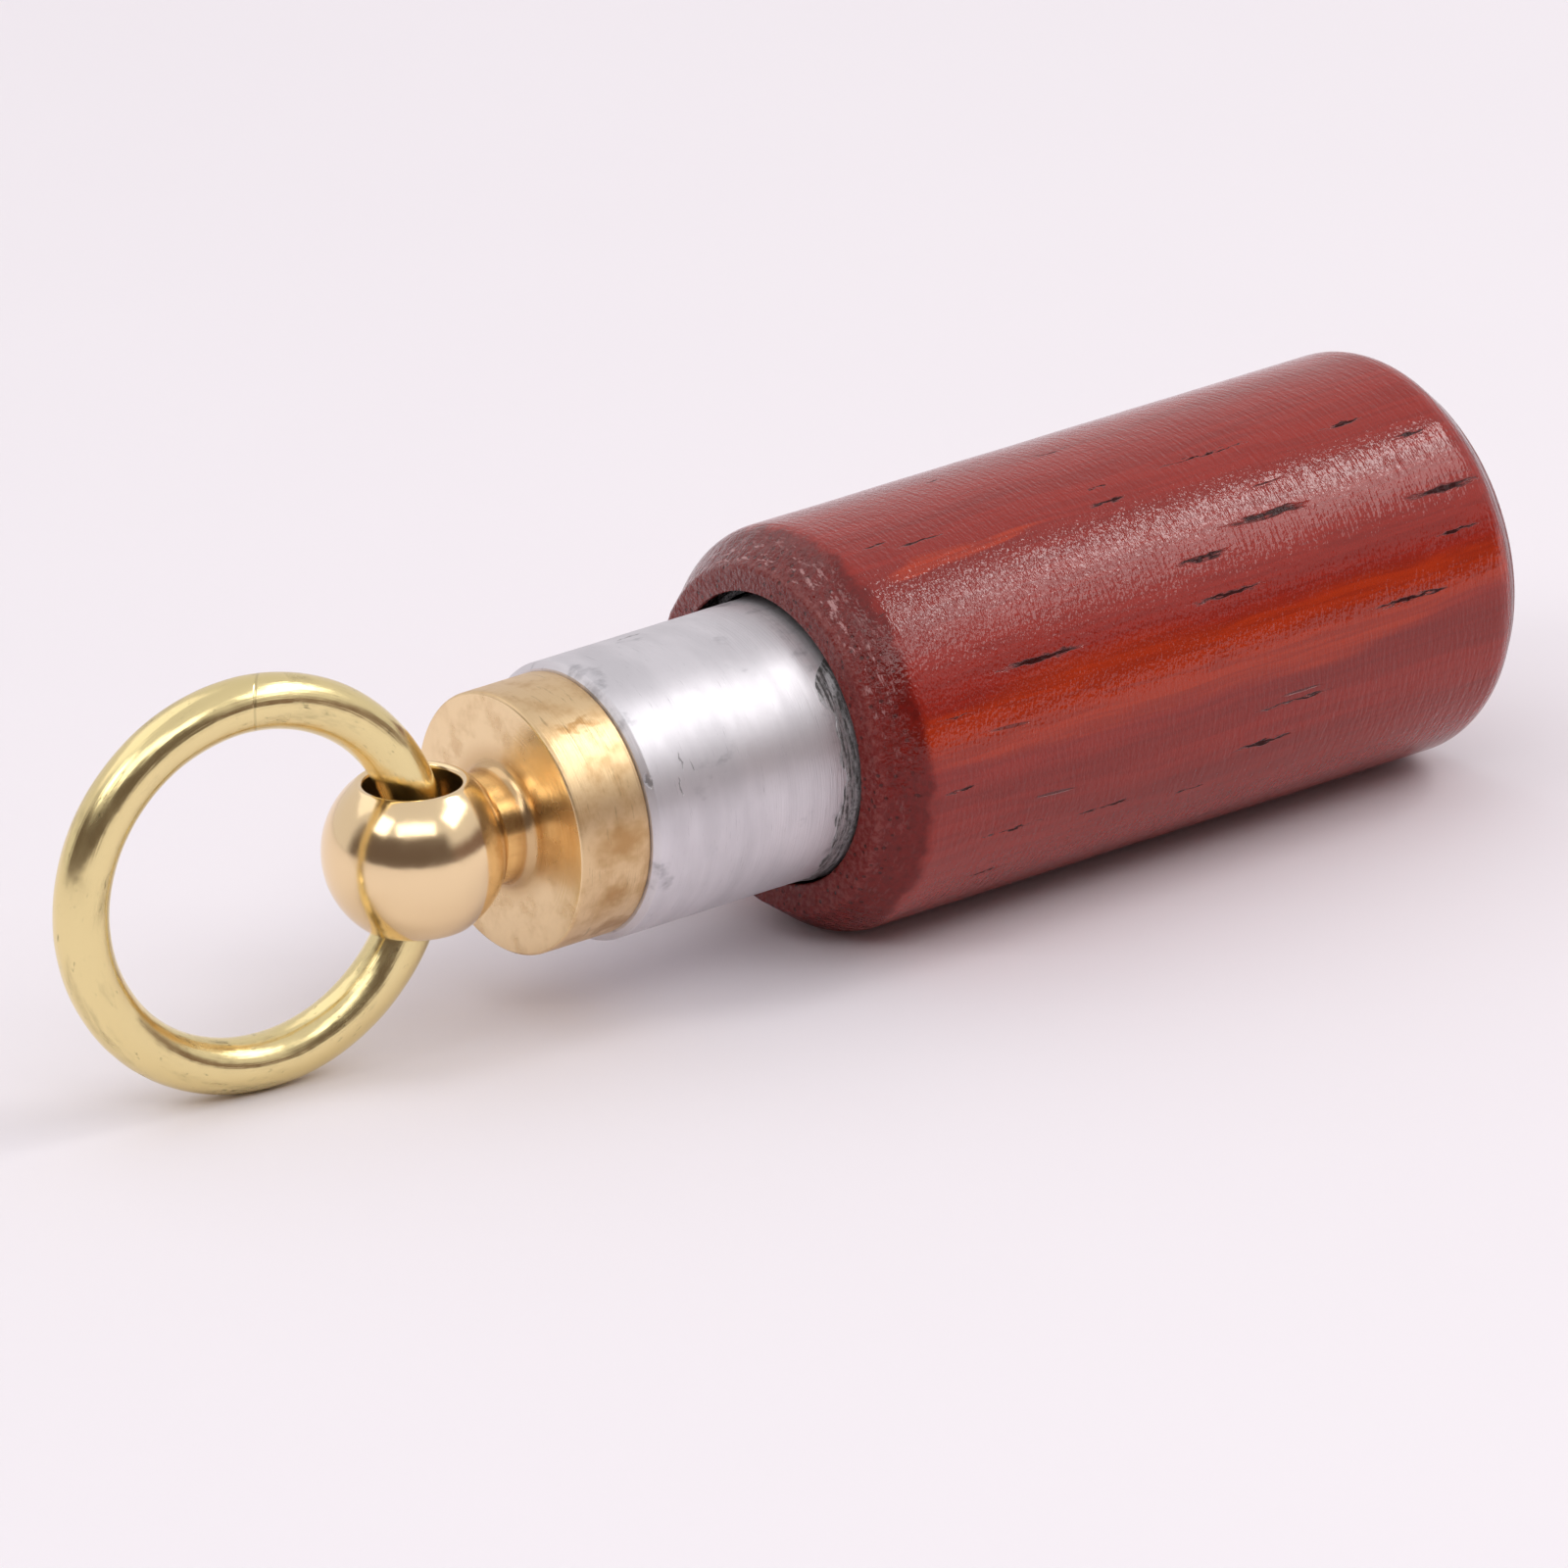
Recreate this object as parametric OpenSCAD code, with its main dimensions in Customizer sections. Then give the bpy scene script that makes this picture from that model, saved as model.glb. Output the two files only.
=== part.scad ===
// Twist bird call: a turned hardwood barrel, an aluminium plug that squeaks
// when it is twisted in the rosined bore, a turned brass head, and a brass
// ring through the ball of the head. The call lies on its side on a table.
// Its axis runs along X, the ring is towards -X, and the table is at z = 0.

/* [Barrel] */
// Diameter of the wooden barrel
barrel_d = 20; // [16:0.5:26]
// Length of the wooden barrel
barrel_l = 39; // [33:0.5:60]
// Length of the sloping edge at the front
front_slope = 2.1; // [1:0.1:4]
// Drop of the sloping edge at the front, from the side to the flat face
front_drop = 1.5; // [0.5:0.1:2.4]
// Length of the sloping edge at the rear
rear_slope = 1.4; // [0.8:0.1:4]
// Drop of the sloping edge at the rear, from the side to the flat face
rear_drop = 1.35; // [0.5:0.05:4]
// Radius that blends each sloping edge into the side of the barrel
shoulder_r = 2; // [0.5:0.1:3]
// Radius that breaks the edge of each flat face
rim_r = 0.4; // [0.1:0.05:0.6]
// Thickness of the wooden wall round the bore
wall_t = 3; // [2.7:0.1:4.5]
// Depth of the bore from the front face
bore_depth = 27; // [26:0.5:33]
// Growth in diameter where use has worn the mouth of the bore
mouth_wear_d = 0.32; // [0.1:0.01:0.5]
// Height by which the worn mouth sits above the axis
mouth_wear_lift = 0.12; // [0:0.01:0.14]
// Depth of the worn mouth
mouth_wear_depth = 1.2; // [0.4:0.1:3]

/* [Plug] */
// Gap between the plug and the bore, which the rosin fills
plug_play = 0.2; // [0.15:0.01:0.4]
// Length of the plug that shows in front of the barrel
plug_shown = 11.8; // [5:0.1:20]
// Length of the plug inside the bore
plug_inside = 24; // [15:0.5:25]
// Size of the bevel on the front edge of the plug
plug_front_bevel = 0.3; // [0.05:0.05:0.4]
// Size of the bevel on the inner edge of the plug
plug_inner_bevel = 0.6; // [0.1:0.1:1.5]

/* [Head] */
// Step by which the collar is smaller than the plug all round
collar_step = 0.4; // [0.1:0.05:1]
// Thickness of the collar
collar_t = 4.05; // [2:0.05:8]
// Size of the bevel on both edges of the collar
collar_bevel = 0.15; // [0.05:0.05:0.3]
// Diameter of the neck between the collar and the ball
neck_d = 5.4; // [4:0.1:6.4]
// Length of the neck that shows between the collar and the ball
neck_shown = 0.6; // [0.3:0.05:3]
// Radius of the fillet from the neck into the collar
neck_fillet = 0.6; // [0.1:0.05:0.8]
// Diameter of the ball
ball_d = 8.8; // [8:0.1:11]
// Room round the wire where it goes through the ball
eye_play = 0.3; // [0.2:0.05:0.6]
// Diameter of the spigot that holds the head in the plug
spigot_d = 4; // [3:0.1:8]
// Length of the spigot
spigot_l = 5; // [3:0.5:12]
// Glue gap round the spigot
spigot_gap = 0.03; // [0.01:0.01:0.06]
// Room left past the end of the spigot
spigot_end_room = 0.5; // [0.2:0.1:2]

/* [Ring] */
// Outer diameter of the ring
ring_d = 20.6; // [19:0.1:24]
// Diameter of the ring's wire
wire_d = 2.7; // [2:0.1:3]
// Turn of the ring from straight ahead, about the hole in the ball
ring_swing = 8; // [-20:1:20]
// Gap between the wire and the edge of the hole that it leans on
ring_lean_gap = 0.05; // [0.02:0.01:0.2]

/* [Rosin] */
// Length of the rosin film that shows on the plug in front of the barrel
film_shown = 1.1; // [0.3:0.1:3]
// Length of the rosin film inside the bore
film_inside = 21; // [8:0.5:25]
// Running gap on each side of the rosin film
film_gap = 0.05; // [0.02:0.01:0.07]
// Thickness of the rosin packed at the bottom of the bore
charge_t = 1.5; // [0.5:0.1:2.5]
// Gap between the packed rosin and the wall of the bore
charge_gap = 0.03; // [0.01:0.01:0.1]

/* [Hidden] */

// Segments in a full circle, and in each rounded corner of an outline
$fn = 96;
corner_steps = 8;
// Most of an edge that the rounding at one of its ends may take
edge_share = 0.48;
// Distance by which each cut runs past the face that it opens
overrun = 1;

// Radii of the barrel, the bore and the plug
barrel_r = barrel_d / 2;
bore_r = barrel_r - wall_t;
plug_r = bore_r - plug_play;
collar_r = plug_r - collar_step;
neck_r = neck_d / 2;
ball_r = ball_d / 2;
spigot_r = spigot_d / 2;

// The ring stands on the table, so its centre is a little off the call's axis
wire_r = wire_d / 2;
ring_r = ring_d / 2 - wire_r;
ring_z = ring_d / 2;
ring_rise = abs(ring_z - barrel_r);

// The wire bows inside the ball, so the hole has room for half of that bow
wire_bow = ring_r - sqrt(pow(ring_r, 2) - pow(ball_r + ring_rise, 2));
eye_r = wire_r + wire_bow / 2 + eye_play;

// The ring is drawn out until its wire all but touches the hole's edge
eye_half_l = sqrt(pow(ball_r, 2) - pow(eye_r, 2));
ring_inner_r = ring_r - wire_r;
ring_reach = eye_r - ring_lean_gap + sqrt(pow(ring_inner_r, 2) - pow(eye_half_l + ring_rise, 2));

// Distances in front of the barrel's front face
collar_back = plug_shown;
collar_front = collar_back + collar_t;
ball_ahead = collar_front + neck_shown + ball_r;
ring_ahead = ball_ahead + ring_reach * cos(ring_swing);
front_reach = ring_ahead + ring_r * cos(ring_swing) + wire_r;

// The origin is under the middle of the whole call
face_x = (front_reach - barrel_l) / 2;

// Unit vector along v
function unit(v) = v / norm(v);

// Points of an arc that rounds corner b between points a and c. Its radius is
// asked_r, or less where that would take more than its share of an edge
function round_corner(a, b, c, asked_r) =
    let (
        to_a = unit(a - b),
        to_c = unit(c - b),
        half = acos(to_a * to_c) / 2,
        edge = min(norm(a - b), norm(c - b)) * edge_share,
        r = min(asked_r, edge * tan(half)),
        centre = b + unit(to_a + to_c) * r / sin(half),
        first = b + to_a * r / tan(half) - centre,
        last = b + to_c * r / tan(half) - centre,
        start = atan2(first.y, first.x),
        turn = (atan2(last.y, last.x) - start + 540) % 360 - 180
    )
    [for (i = [0:corner_steps])
        let (angle = start + turn * i / corner_steps)
        centre + r * [cos(angle), sin(angle)]];

// Puts a shape drawn up Z onto the call's axis, its foot x behind the front face
module on_axis(x) {
    translate([face_x + x, 0, barrel_r])
        rotate([0, 90, 0])
            children();
}

// Outline of the barrel as radius and distance behind the front face
module barrel_outline() {
    front_in = [0, 0];
    front_rim = [barrel_r - front_drop, 0];
    front_shoulder = [barrel_r, front_slope];
    rear_shoulder = [barrel_r, barrel_l - rear_slope];
    rear_rim = [barrel_r - rear_drop, barrel_l];
    rear_in = [0, barrel_l];
    polygon(concat(
        [front_in],
        round_corner(front_in, front_rim, front_shoulder, rim_r),
        round_corner(front_rim, front_shoulder, rear_shoulder, shoulder_r),
        round_corner(front_shoulder, rear_shoulder, rear_rim, shoulder_r),
        round_corner(rear_shoulder, rear_rim, rear_in, rim_r),
        [rear_in]
    ));
}

// Turned hardwood barrel with a blind bore, worn a little wide at its mouth
module barrel() {
    color("#9a3426")
        on_axis(0)
            difference() {
                rotate_extrude() barrel_outline();
                translate([0, 0, -overrun])
                    cylinder(h = bore_depth + overrun, r = bore_r);
                translate([-mouth_wear_lift, 0, -overrun])
                    cylinder(h = mouth_wear_depth + overrun, r = bore_r + mouth_wear_d / 2);
            }
}

// Rosin powder packed hard at the bottom of the bore
module rosin_charge() {
    color("#c89a4a")
        on_axis(bore_depth - charge_t)
            cylinder(h = charge_t, r = bore_r - charge_gap);
}

// Film of rosin between the plug and the wood, squeezed out at the mouth
module rosin_film() {
    color("#5a5650")
        on_axis(-film_shown)
            difference() {
                cylinder(h = film_shown + film_inside, r = bore_r - film_gap);
                translate([0, 0, -overrun])
                    cylinder(h = film_shown + film_inside + 2 * overrun, r = plug_r + film_gap);
            }
}

// Aluminium plug with a bevel at each end and a socket for the head's spigot
module plug() {
    plug_l = plug_shown + plug_inside;
    color("#c9cacf")
        on_axis(-plug_shown)
            difference() {
                rotate_extrude()
                    polygon([
                        [0, 0],
                        [plug_r - plug_front_bevel, 0],
                        [plug_r, plug_front_bevel],
                        [plug_r, plug_l - plug_inner_bevel],
                        [plug_r - plug_inner_bevel, plug_l],
                        [0, plug_l]
                    ]);
                translate([0, 0, -overrun])
                    cylinder(h = spigot_l + spigot_end_room + overrun, r = spigot_r + spigot_gap);
            }
}

// Outline of the spigot, collar and neck, from the spigot's end to the ball's middle
module head_outline() {
    neck_root = [neck_r, -collar_t];
    neck_end = [neck_r, -collar_t - neck_shown - ball_r];
    polygon(concat(
        [
            [0, spigot_l],
            [spigot_r - collar_bevel, spigot_l],
            [spigot_r, spigot_l - collar_bevel],
            [spigot_r, 0],
            [collar_r - collar_bevel, 0],
            [collar_r, -collar_bevel],
            [collar_r, -collar_t + collar_bevel],
            [collar_r - collar_bevel, -collar_t]
        ],
        round_corner([collar_r, -collar_t], neck_root, neck_end, neck_fillet),
        [neck_end, [0, neck_end.y]]
    ));
}

// Brass head turned in one piece: spigot, collar, neck, and ball with its hole
module head() {
    color("#cfa561")
        difference() {
            union() {
                on_axis(-collar_back)
                    rotate_extrude() head_outline();
                translate([face_x - ball_ahead, 0, barrel_r])
                    sphere(r = ball_r);
            }
            translate([face_x - ball_ahead, 0, barrel_r - ball_r - overrun])
                cylinder(h = 2 * (ball_r + overrun), r = eye_r);
        }
}

// Closed ring of brass wire that stands on edge, threaded through the ball
module ring() {
    color("#c2a449")
        translate([face_x - ball_ahead, 0, ring_z])
            rotate([0, 0, -ring_swing])
                translate([-ring_reach, 0, 0])
                    rotate([90, 0, 0])
                        rotate_extrude()
                            translate([ring_r, 0])
                                circle(r = wire_r);
}

barrel();
rosin_charge();
rosin_film();
plug();
head();
ring();
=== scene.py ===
# Twist bird call on a pale studio floor: a turned and lacquered hardwood barrel,
# a rosined aluminium plug, a turned brass head and a closed ring of brass wire.
# Lengths are in metres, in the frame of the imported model: the call's axis runs
# along X, its ring is towards -X, and the table is at z = 0.

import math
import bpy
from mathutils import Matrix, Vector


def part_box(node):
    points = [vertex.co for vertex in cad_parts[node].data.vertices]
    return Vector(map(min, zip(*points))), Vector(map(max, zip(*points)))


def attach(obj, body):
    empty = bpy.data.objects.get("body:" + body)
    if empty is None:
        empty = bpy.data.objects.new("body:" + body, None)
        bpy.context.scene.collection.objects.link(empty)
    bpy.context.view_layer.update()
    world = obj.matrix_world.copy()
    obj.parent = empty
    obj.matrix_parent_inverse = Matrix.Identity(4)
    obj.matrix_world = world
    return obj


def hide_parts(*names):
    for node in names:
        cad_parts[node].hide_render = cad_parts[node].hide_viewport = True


bl_info = {
    "name": "Twist bird call",
    "version": (1, 0, 0),
    "blender": (4, 5, 0),
    "location": "3D View > Sidebar > Bird call",
    "description": "Models the visible pieces of a twist bird call and their stage",
    "category": "Add Mesh",
}

from functools import partial

import bpy
from bpy.props import FloatProperty, FloatVectorProperty, IntProperty, PointerProperty
from mathutils import Matrix, Vector

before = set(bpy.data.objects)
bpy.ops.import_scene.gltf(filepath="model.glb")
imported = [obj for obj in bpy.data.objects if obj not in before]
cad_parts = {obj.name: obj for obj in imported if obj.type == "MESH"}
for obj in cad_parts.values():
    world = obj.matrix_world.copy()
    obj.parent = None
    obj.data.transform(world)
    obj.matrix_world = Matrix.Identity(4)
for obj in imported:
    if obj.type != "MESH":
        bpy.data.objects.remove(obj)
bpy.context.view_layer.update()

MM = 0.001

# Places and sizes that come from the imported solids
BARREL_LOW, BARREL_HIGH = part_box("barrel")
PLUG_LOW, PLUG_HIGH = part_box("plug")
HEAD_LOW, HEAD_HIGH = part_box("head")
RING_LOW, RING_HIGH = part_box("ring")
FILM_LOW, FILM_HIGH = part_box("rosin_film")
_, CHARGE_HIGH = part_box("rosin_charge")
FACE_X = BARREL_LOW.x
AXIS_Z = (BARREL_LOW.z + BARREL_HIGH.z) / 2
BARREL_L = BARREL_HIGH.x - BARREL_LOW.x
BARREL_R = (BARREL_HIGH.z - BARREL_LOW.z) / 2
BORE_DEPTH = CHARGE_HIGH.x - FACE_X
FILM_R = (FILM_HIGH.z - FILM_LOW.z) / 2
PLUG_R = (PLUG_HIGH.z - PLUG_LOW.z) / 2
PLUG_SHOWN = FACE_X - PLUG_LOW.x
COLLAR_R = (HEAD_HIGH.z - HEAD_LOW.z) / 2
SPIGOT_L = HEAD_HIGH.x - PLUG_LOW.x
RING_R = (RING_HIGH.z - RING_LOW.z) / 2
RING_CENTRE = (RING_LOW + RING_HIGH) / 2

# Most of an edge that the rounding at one of its ends may take
EDGE_SHARE = 0.48
# Radius that breaks the edge of the worn mouth
MOUTH_EDGE = 0.15 * MM
# Distance within which points of a turned form are one, and the width of a cut's slivers
WELD = 1e-7
SLIVER = 2e-6
# Steps of the ring along its wire and round it, and of the ball's rims and outline
RING_STEPS = 224
WIRE_STEPS = 48
BRIM_STEPS = 7
BALL_STEPS = 64
# Where in the ball's wall the neck ends, as a share of the ball's and the hole's radii together
NECK_SHARE = 0.43
# The rosin's ragged edge: the turn from the -Y side towards the top at which the worn mouth
# leaves it bare, its mean share of its travel, and its waves: number, phase and share
BARE_TURN = math.radians(98)
RAGGED_MEAN = 0.10
RAGGED_WAVES = ((5, 0.6, 0.05), (13, 2.0, 0.035), (29, 0.0, 0.03))
# Side of the floor, and the camera's sensor in millimetres
FLOOR_SIZE = 6.0
SENSOR = 36
# Turns of the room's dark and brown sides from the -Y side
DARK_SIDE = math.radians(-56)
BROWN_SIDE = math.radians(36)

# Marks on a round side, in millimetres and degrees: distance behind the barrel's front
# face, turn from the -Y side towards the top, half the mark's length along the axis,
# half its width, and its rise in degrees from its front end to its rear end
DEEP_PORES = (
    (35.1, 37.1, 2.6, 0.22, -3.1), (34.9, 25.0, 2.0, 0.11, -4.4), (31.4, 10.8, 5.1, 0.13, -7.6),
    (21.0, 27.0, 2.8, 0.12, -1.7), (20.4, 38.5, 1.9, 0.17, -1.1), (24.9, 44.8, 3.2, 0.24, -4.3),
    (26.0, 54.0, 1.0, 0.12, -0.7), (32.1, 65.2, 1.4, 0.12, 1.4), (35.2, 55.3, 1.1, 0.14, -0.4),
    (9.5, 25.5, 3.2, 0.17, -2.5), (17.3, 63.4, 1.6, 0.10, -1.9), (17.3, 69.2, 2.7, 0.06, -5.2),
    (24.4, 69.3, 4.1, 0.05, 1.1), (11.2, 96.5, 3.5, 0.06, -13.0), (17.3, 91.6, 2.3, 0.06, -4.0),
    (4.2, 72.8, 0.8, 0.12, -1.3), (7.0, 69.8, 1.4, 0.13, -2.6), (3.6, 17.1, 1.4, 0.06, -2.0),
    (24.2, -8.3, 3.0, 0.10, -2.4), (22.5, -19.2, 2.2, 0.14, -1.2), (3.9, -3.4, 0.9, 0.10, -2.0),
    (7.2, -21.8, 2.9, 0.06, -1.9), (13.2, -24.8, 3.1, 0.08, -4.1), (18.6, -29.0, 2.3, 0.07, -4.1),
    (6.7, -37.5, 2.6, 0.06, -2.7), (1.5, -17.5, 0.5, 0.09, -1.0), (14.0, 118.0, 2.6, 0.15, 2.0),
    (27.5, 141.0, 3.1, 0.18, -2.0), (8.0, 163.0, 2.2, 0.12, 1.5), (21.5, 178.0, 3.4, 0.16, -1.0),
    (31.0, 205.0, 2.4, 0.13, 2.0), (12.0, 224.0, 2.9, 0.17, -1.5), (24.5, 252.0, 2.2, 0.14, 1.0),
)
LIGHT_GRAIN = (
    (20.0, 12.0, 24.0, 1.7, 8.0), (8.0, 62.0, 5.0, 0.3, 0.0),
    (16.0, 150.0, 20.0, 1.6, -5.0), (24.0, 235.0, 18.0, 1.4, 4.0),
)
PLUG_NICKS = (
    (-11.6, 24.8, 0.14, 0.45, 0.0), (-9.6, 29.0, 0.05, 0.40, 0.0), (-10.0, 19.0, 0.05, 0.55, 0.0),
    (-9.1, 25.0, 0.04, 0.35, 0.0), (-6.9, 102.0, 0.80, 0.10, 0.0),
)
COLLAR_STAINS = (
    (-13.4, 3.0, 1.6, 1.1, 0.0), (-13.8, -22.0, 1.3, 0.9, 6.0), (-12.9, -46.0, 1.2, 0.7, -5.0),
    (-13.9, 58.0, 1.4, 0.3, 9.0), (-13.2, 140.0, 1.3, 0.9, 0.0), (-13.6, 215.0, 1.5, 0.8, 5.0),
)
# Depth of each mark below the side in half widths, and a distance that is far from all of them
MARK_DEPTH = 3
FAR = 10.0
# Share of a vessel's radius within which its slot is at full strength
VESSEL_CORE = 0.65

# Soft boxes: azimuth from the -Y side and elevation in degrees, watts, width and height in metres
SOFT_BOXES = (
    ("left_box", -92, 44, 0.30, 0.20, 0.20),
    ("camera_box", -34, 48, 0.45, 0.50, 0.16),
    ("right_box", 50, 47, 0.62, 0.44, 0.19),
    ("right_window", 72, 52, 0.30, 0.14, 0.13),
    ("back_box", -160, 52, 0.30, 0.50, 0.40),
)

# Short names for the kinds of shader node, each with the settings that it is used with
KINDS = {
    "step": ("MapRange", {"interpolation_type": "SMOOTHSTEP"}),
    "blend": ("Mix", {"data_type": "RGBA"}),
    **{name: ("Math", {"operation": operation}) for name, operation in (
        ("plus", "ADD"), ("minus", "SUBTRACT"), ("times", "MULTIPLY"), ("times_plus", "MULTIPLY_ADD"),
        ("smaller", "MINIMUM"), ("larger", "MAXIMUM"), ("absolute", "ABSOLUTE"),
        ("sine", "SINE"), ("cosine", "COSINE"),
    )},
    **{name: ("VectorMath", {"operation": operation}) for name, operation in (
        ("shift", "ADD"), ("scale", "MULTIPLY"), ("scale_shift", "MULTIPLY_ADD"),
        ("length", "LENGTH"), ("dot", "DOT_PRODUCT"),
    )},
}


def to_linear(hex_colour):
    """Linear red, green, blue and alpha of an sRGB colour written as #rrggbb."""
    parts = [int(hex_colour[i:i + 2], 16) / 255 for i in (1, 3, 5)]
    return tuple(c / 12.92 if c <= 0.04045 else ((c + 0.055) / 1.055) ** 2.4 for c in parts) + (1.0,)


def length(name, description, millimetres, most=0.1):
    """A length given in millimetres, which the sidebar shows with its unit."""
    return FloatProperty(
        name=name, description=description, default=millimetres * MM, min=0.0, max=most,
        unit="LENGTH", subtype="DISTANCE", precision=5,
    )


def angle(name, description, degrees):
    """An angle that the sidebar shows in degrees."""
    return FloatProperty(
        name=name, description=description, default=math.radians(degrees),
        subtype="ANGLE", unit="ROTATION",
    )


def colour(name, description, hex_colour):
    """A colour that the sidebar shows as a swatch."""
    return FloatVectorProperty(
        name=name, description=description, default=to_linear(hex_colour), size=4,
        min=0.0, max=1.0, subtype="COLOR",
    )


def segments(description, number):
    """A number of segments round a turned form."""
    return IntProperty(name="Segments", description=description, default=number, min=64, max=400)


class BarrelSettings(bpy.types.PropertyGroup):
    """Sizes and colours of the wooden barrel"""

    front_slope: length("Front slope", "Length of the sloping edge at the front", 2.1)
    front_drop: length("Front drop", "Drop from the side to the front face", 1.5)
    rear_slope: length("Rear slope", "Length of the sloping edge at the rear", 1.4)
    rear_drop: length("Rear drop", "Drop from the side to the rear face", 1.35)
    shoulder: length("Shoulder radius", "Radius from each sloping edge into the side", 2)
    rim: length("Rim radius", "Radius that breaks the edge of each flat face", 0.4)
    wall: length("Wall", "Thickness of the wooden wall round the bore", 3)
    mouth_growth: length("Worn mouth", "Growth in radius of the worn mouth of the bore", 0.16)
    mouth_lift: length("Mouth lift", "Height of the worn mouth above the axis", 0.12)
    mouth_depth: length("Mouth depth", "Depth of the worn mouth", 1.2)
    station: length("Station spacing", "Distance between turned stations along the side", 0.45)
    waver: length("Unevenness", "Depth of the hand-sanded unevenness of the side", 0.04)
    torn: length("Torn grain", "Depth of the torn fibres on the front face", 0.06)
    around: segments("Segments round the barrel", 320)
    red: colour("Stain", "Stained wood between the pores", "#962417")
    orange: colour("Light grain", "Grain that took less stain", "#AC300C")
    dark: colour("Dark grain", "Grain that took more stain", "#74170F")
    pore: colour("Pores", "Stain and dirt in the open pores", "#340D0B")
    cut: colour("Cut edges", "Faces and sloping edges, where the cut fibres drink the stain", "#701510")
    end_grain: colour("End grain", "Crumbly wood of the flat faces", "#86413C")
    # Painted shade: a near-black colour for the wall of the bore, standing for the shade inside it
    painted_bore_shade: colour("Bore", "Rosin and metal dust rubbed into the wood of the bore", "#1A0D0B")
    # Painted highlight: pale flecks on the front edge, mostly on top, standing for glints of light on the
    # torn lacquer
    painted_glint: colour("Chipped lacquer", "Pale flecks where the front edge's lacquer has chipped", "#BC8C8A")


class PlugSettings(bpy.types.PropertyGroup):
    """Sizes and colours of the aluminium plug and its rosin"""

    front_bevel: length("Front bevel", "Bevel on the front edge of the plug", 0.3)
    inner_bevel: length("Inner bevel", "Bevel on the edge inside the bore", 0.6)
    socket_r: length("Socket radius", "Radius of the socket for the spigot", 2.03)
    socket_room: length("Socket room", "Room past the end of the spigot", 0.5)
    knocks: length("Knocks", "Depth of the knocks on the shown length", 0.015)
    film_bare: length("Bare rosin depth", "Depth in the bore at which the film starts at the top", 2.4)
    around: segments("Segments round the plug and the film", 256)
    metal: colour("Aluminium", "Satin turned aluminium", "#E4E1E4")
    # Also painted shade: this grey gathers beside the mouth of the bore
    scuffed: colour("Scuffed metal", "Dull scuffs and handling marks", "#77777C")
    film: colour("Rosin film", "Rosin darkened by metal dust", "#4C4A49")
    dust: colour("Metal dust", "Rubbed metal in the rosin film", "#C8C7C9")
    charge: colour("Rosin", "Packed rosin powder", "#B98A42")
    charge_cloud: colour("Rosin clouds", "Darker clouds in the packed rosin", "#8A5A20")
    charge_gap: colour("Rosin gaps", "Gaps between the grains of rosin", "#6A431A")


class HeadSettings(bpy.types.PropertyGroup):
    """Sizes and colours of the brass head"""

    collar_bevel: length("Collar bevel", "Bevel on both edges of the collar", 0.15)
    collar: length("Collar", "Thickness of the collar", 4.05)
    neck_r: length("Neck radius", "Radius of the neck", 2.7)
    neck: length("Neck", "Length of the neck that shows", 0.6)
    fillet: length("Neck fillet", "Radius from the neck into the collar", 0.6)
    ball_r: length("Ball radius", "Radius of the ball", 4.4)
    eye_r: length("Eye radius", "Radius of the hole through the ball", 2.317)
    eye_edge: length("Eye edge", "Radius that breaks the edge of the hole", 0.25)
    spigot_r: length("Spigot radius", "Radius of the spigot in the plug", 2)
    around: segments("Segments round each turned form", 192)
    brass: colour("Brass", "Polished turned brass", "#F4D9AC")
    stained: colour("Stained brass", "Amber stain round the neck and in the tool marks", "#B08248")
    scuffed: colour("Scuffed brass", "Short scuffs round the collar", "#7C6440")


class RingSettings(bpy.types.PropertyGroup):
    """Sizes and colours of the brass wire ring"""

    wire_r: length("Wire radius", "Radius of the wire", 1.35)
    swing: angle("Swing", "Turn of the ring from straight ahead about the hole in the ball", 8)
    seam_at: angle("Seam place", "Turn of the closed butt joint from the top of the ring", 12)
    waver: length("Unevenness", "Unevenness of the bent wire", 0.04)
    brass: colour("Brass wire", "Satin drawn brass", "#EFDCA2")
    tarnish: colour("Tarnish", "Grey-green tarnish on the wire", "#7C7050")


class StageSettings(bpy.types.PropertyGroup):
    """Floor, light and camera"""

    floor: colour("Floor", "Plain pale floor", "#F3EEF2")
    floor_cloud: colour("Floor mottle", "Faint mottle in the floor", "#D8CED4")
    ceiling: colour("Ceiling", "Bright room above", "#E0DDE0")
    wall: colour("Wall", "Room low down behind the object", "#E2DEE1")
    dark_room: colour("Dark room", "Dark room low down on the camera's left", "#6A5E5A")
    table_edge: colour("Table edge", "Brown edge of the room on the right", "#7E6862")
    backdrop: colour("Backdrop", "What the camera sees past the floor", "#F4EFF3")
    box_power: FloatProperty(
        name="Soft box power", description="Share of the soft boxes' plain power", default=1.0, min=0,
    )
    box_distance: length("Soft box distance", "Distance of the soft boxes from the object", 600, most=5)
    azimuth: angle("Azimuth", "Camera's direction round the object from the -Y side", -37.439)
    elevation: angle("Elevation", "Camera's height as an angle", 21.699)
    roll: angle("Roll", "Camera's roll", -1.666)
    distance: length("Distance", "Distance from the camera to the object", 921.8, most=10)
    lens: FloatProperty(
        name="Lens", description="Focal length", default=446.6, min=10, max=2000, unit="CAMERA",
    )
    aim: FloatVectorProperty(
        name="Aim", description="Point at the middle of the picture", default=(1.327 * MM, 0, 7.519 * MM),
        size=3, subtype="TRANSLATION", unit="LENGTH", precision=5,
    )


def clear_selection():
    """Leaves nothing selected, so that an operator acts on the new piece alone."""
    if bpy.context.object and bpy.context.object.mode != "OBJECT":
        bpy.ops.object.mode_set(mode="OBJECT")
    bpy.ops.object.select_all(action="DESELECT")


def work_on(piece):
    """Makes the piece the only one selected, and the active one."""
    clear_selection()
    piece.select_set(True)
    bpy.context.view_layer.objects.active = piece


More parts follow.
